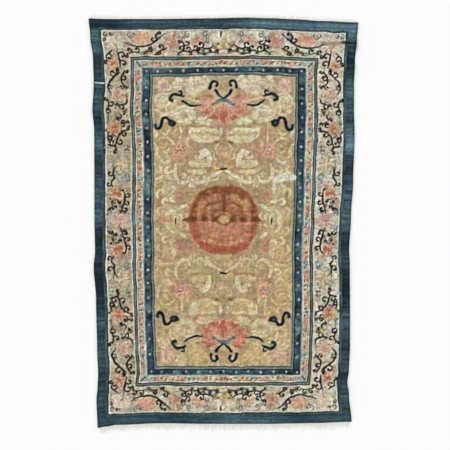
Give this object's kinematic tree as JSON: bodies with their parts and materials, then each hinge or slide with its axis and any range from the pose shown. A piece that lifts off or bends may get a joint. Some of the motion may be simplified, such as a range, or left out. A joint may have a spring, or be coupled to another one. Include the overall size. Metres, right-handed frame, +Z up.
{
  "type": "chinese pile rug",
  "caption": "Flat hand-knotted wool pile rug with an uneven hand-woven outline, low ripples along its rims, and a short cotton warp fringe at both ends.",
  "frame": {"origin": "on the floor, under the middle of the rug and its fringes", "axes": "+Y along the rug's length towards its far end, +X across it to the right, +Z up out of the pile"},
  "size_m": [1.281, 2.0054, 0.0168],
  "materials": {
    "pile_wool": "clipped wool pile in navy, cream, camel, gold and coral, worn and matt",
    "warp_cotton": "undyed cotton warp yarn"
  },
  "bodies": {
    "root": {"pile_rug": "pile_wool", "fringe_far": "warp_cotton", "fringe_near": "warp_cotton"}
  },
  "joints": []
}
